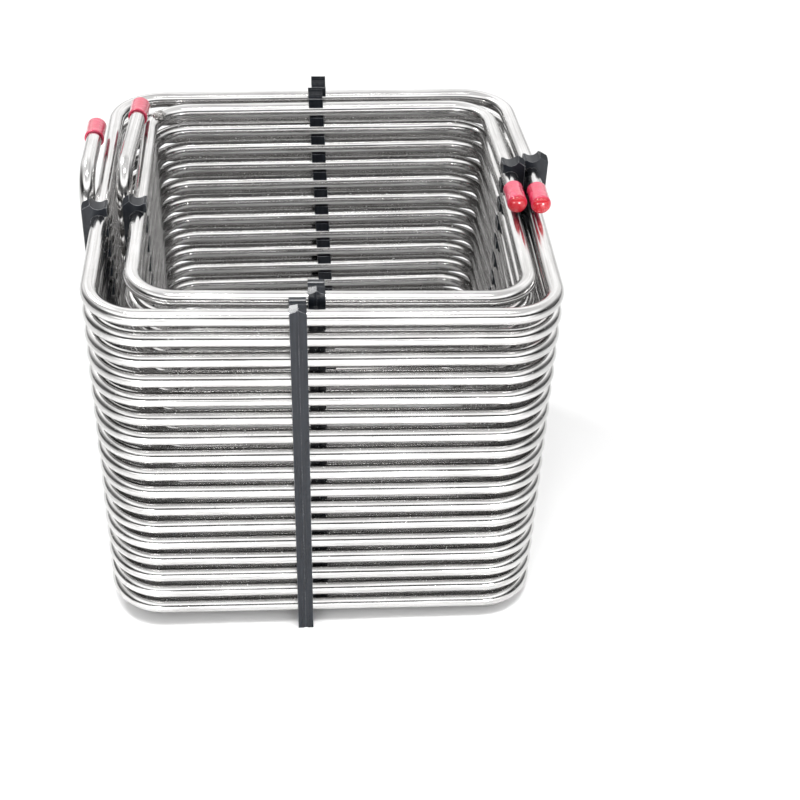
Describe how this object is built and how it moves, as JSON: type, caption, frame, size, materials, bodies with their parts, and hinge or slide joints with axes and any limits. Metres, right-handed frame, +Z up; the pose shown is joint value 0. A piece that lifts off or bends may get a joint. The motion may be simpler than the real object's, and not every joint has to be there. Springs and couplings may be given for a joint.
{
  "type": "immersion wort chiller",
  "caption": "Nested pair of square stainless tube coils in black comb spacers, with capped straight ends, for chilling liquid inside a tub, kettle or cool box.",
  "frame": {"origin": "floor, under the middle of the object", "axes": "+Z up; +Y towards the rear side that the return ends point to; +X towards the side with the supply ends"},
  "size_m": [0.2805, 0.2672, 0.2487],
  "materials": {
    "coil_steel": "bright drawn stainless tube with a fine lengthwise grain",
    "comb_plastic": "satin moulded",
    "cap_vinyl": "glossy dipped vinyl"
  },
  "bodies": {
    "outer_coil": {"outer_coil_tube": "coil_steel", "outer_riser_tube": "coil_steel", "outer_supply_end": "coil_steel", "outer_return_end": "coil_steel", "outer_comb_front": "comb_plastic", "outer_comb_rear": "comb_plastic", "outer_comb_left": "comb_plastic", "outer_comb_right": "comb_plastic"},
    "outer_supply_plug": {"outer_supply_cap": "cap_vinyl"},
    "outer_return_plug": {"outer_return_cap": "cap_vinyl"},
    "inner_coil": {"inner_coil_tube": "coil_steel", "inner_riser_tube": "coil_steel", "inner_supply_end": "coil_steel", "inner_return_end": "coil_steel", "inner_comb_front": "comb_plastic", "inner_comb_rear": "comb_plastic", "inner_comb_left": "comb_plastic", "inner_comb_right": "comb_plastic"},
    "inner_supply_plug": {"inner_supply_cap": "cap_vinyl"},
    "inner_return_plug": {"inner_return_cap": "cap_vinyl"}
  },
  "joints": [
    {"name": "inner_coil_lift", "type": "slide", "parent": "outer_coil", "child": "inner_coil", "axis": [0, 0, 1], "range_m": [0, 0.27]},
    {"name": "outer_supply_cap_pull", "type": "slide", "parent": "outer_coil", "child": "outer_supply_plug", "axis": [0, -1, 0], "range_m": [0, 0.035]},
    {"name": "outer_return_cap_pull", "type": "slide", "parent": "outer_coil", "child": "outer_return_plug", "axis": [0.0139, 0.9999, 0], "range_m": [0, 0.035]},
    {"name": "inner_supply_cap_pull", "type": "slide", "parent": "inner_coil", "child": "inner_supply_plug", "axis": [0, -1, 0], "range_m": [0, 0.035]},
    {"name": "inner_return_cap_pull", "type": "slide", "parent": "inner_coil", "child": "inner_return_plug", "axis": [0.051, 0.9987, 0], "range_m": [0, 0.035]}
  ]
}
